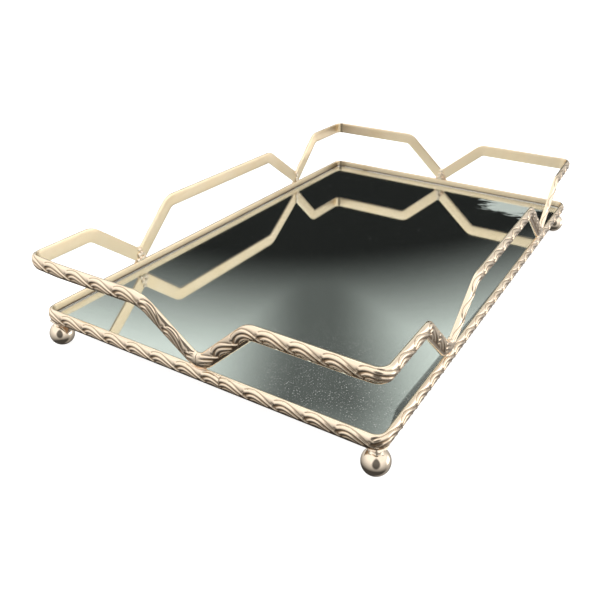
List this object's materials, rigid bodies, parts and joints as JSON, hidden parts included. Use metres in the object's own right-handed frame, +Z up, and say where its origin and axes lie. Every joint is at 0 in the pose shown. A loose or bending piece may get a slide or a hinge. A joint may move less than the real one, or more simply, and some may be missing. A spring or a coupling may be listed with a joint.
{
  "type": "mirrored vanity tray",
  "caption": "Rectangular mirrored vanity tray with a zigzag gallery of embossed gold-tone strip on low ball feet, for perfume bottles and cosmetics.",
  "frame": {"origin": "on the resting plane, under the middle of the tray", "axes": "+X along the tray's long side, from the end with the band's seam to the other end; +Y across it; +Z up"},
  "size_m": [0.3524, 0.2224, 0.0608],
  "materials": {
    "plated_strip": "champagne-gold plating over an embossed relief, satin to bright",
    "plated_tab": "champagne-gold plating, plain",
    "polished_ball": "champagne-gold plating, mirror polished",
    "braze": "copper-tinted braze, semi-bright",
    "mirror": "silvered float glass",
    "hardboard": "raw pressed board",
    "felt": "short-pile felt"
  },
  "bodies": {
    "root": {"base_band": "plated_strip", "corner_arch_front_left": "plated_strip", "side_arch_left": "plated_strip", "corner_arch_rear_left": "plated_strip", "corner_arch_rear_right": "plated_strip", "side_arch_right": "plated_strip", "corner_arch_front_right": "plated_strip", "support_tab_front_1": "plated_tab", "support_tab_front_2": "plated_tab", "support_tab_left_1": "plated_tab", "support_tab_left_2": "plated_tab", "support_tab_left_3": "plated_tab", "support_tab_rear_1": "plated_tab", "support_tab_rear_2": "plated_tab", "support_tab_right_1": "plated_tab", "support_tab_right_2": "plated_tab", "support_tab_right_3": "plated_tab", "ball_foot_front_left": "polished_ball", "ball_foot_front_right": "polished_ball", "ball_foot_rear_left": "polished_ball", "ball_foot_rear_right": "polished_ball", "foot_collar_front_left": "braze", "foot_collar_front_right": "braze", "foot_collar_rear_left": "braze", "foot_collar_rear_right": "braze", "braze_front": "braze", "braze_left_front": "braze", "braze_left_rear": "braze", "braze_rear": "braze", "braze_right_rear": "braze", "braze_right_front": "braze", "mirror_plate": "mirror", "backing_board": "hardboard", "felt_pad": "felt"}
  },
  "joints": []
}
